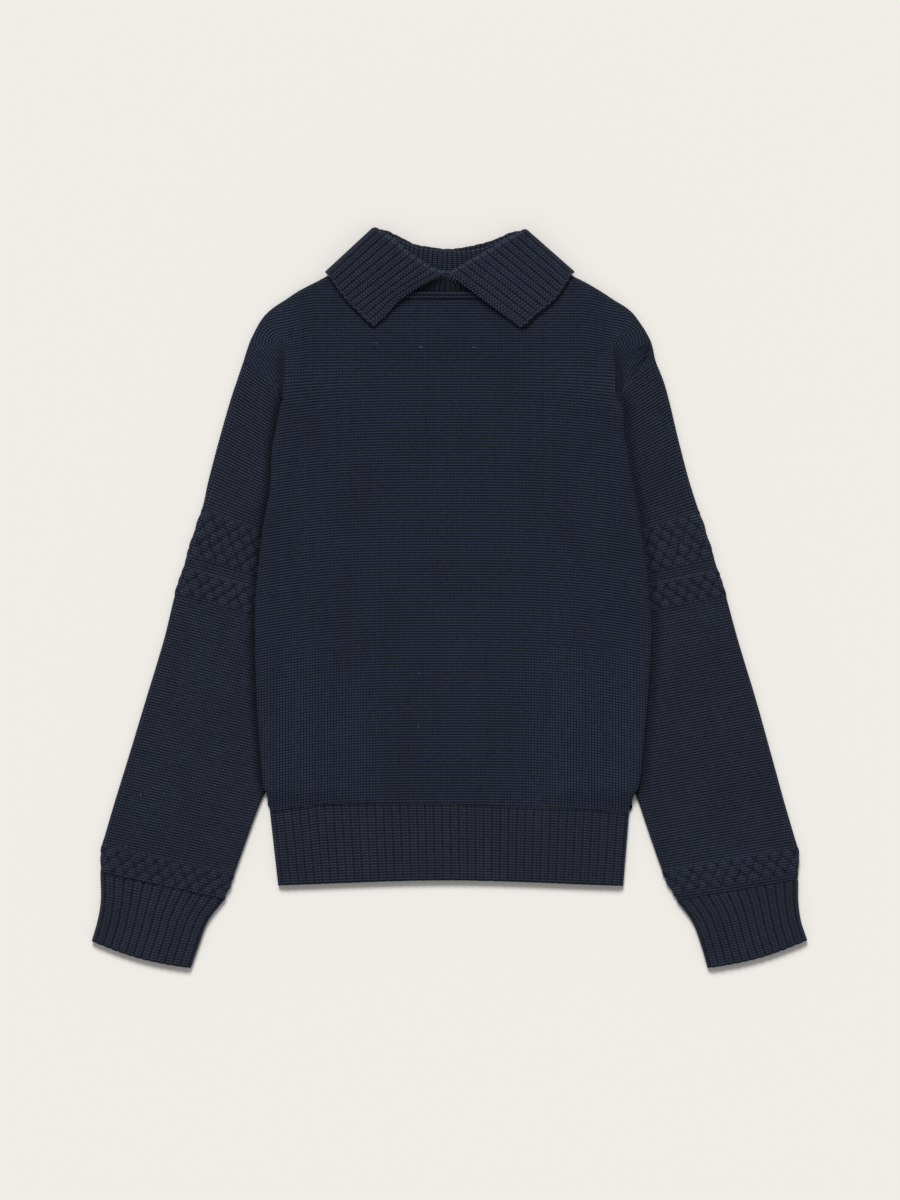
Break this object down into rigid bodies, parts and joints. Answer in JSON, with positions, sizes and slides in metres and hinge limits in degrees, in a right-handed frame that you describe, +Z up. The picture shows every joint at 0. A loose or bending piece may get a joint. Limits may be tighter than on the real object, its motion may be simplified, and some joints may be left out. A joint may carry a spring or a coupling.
{
  "type": "knitted sweater",
  "caption": "Long-sleeved knitted sweater laid flat, with ribbed hem and cuffs, raised sleeve bands and a turned-down ribbed collar parted at the front.",
  "frame": {"origin": "middle of the garment's outline, on the surface it rests on", "axes": "+X across the garment towards the right of the picture, +Y towards the collar, +Z up from the surface to the viewer"},
  "size_m": [0.751, 0.7782, 0.0213],
  "materials": {
    "panel_knit": "dark navy wool, reverse stockinette, matte with a light nap",
    "rib_knit": "dark navy wool, ribbed, matte with a light nap",
    "trim_knit": "dark navy wool, rolled trim, matte"
  },
  "bodies": {
    "root": {"front_panel": "panel_knit", "back_panel": "panel_knit", "sleeve_left": "panel_knit", "sleeve_right": "panel_knit", "cuff_left": "rib_knit", "cuff_right": "rib_knit", "hem_front": "rib_knit", "hem_back": "rib_knit", "collar_stand": "rib_knit", "collar_fall": "rib_knit", "neck_trim": "trim_knit"}
  },
  "joints": []
}
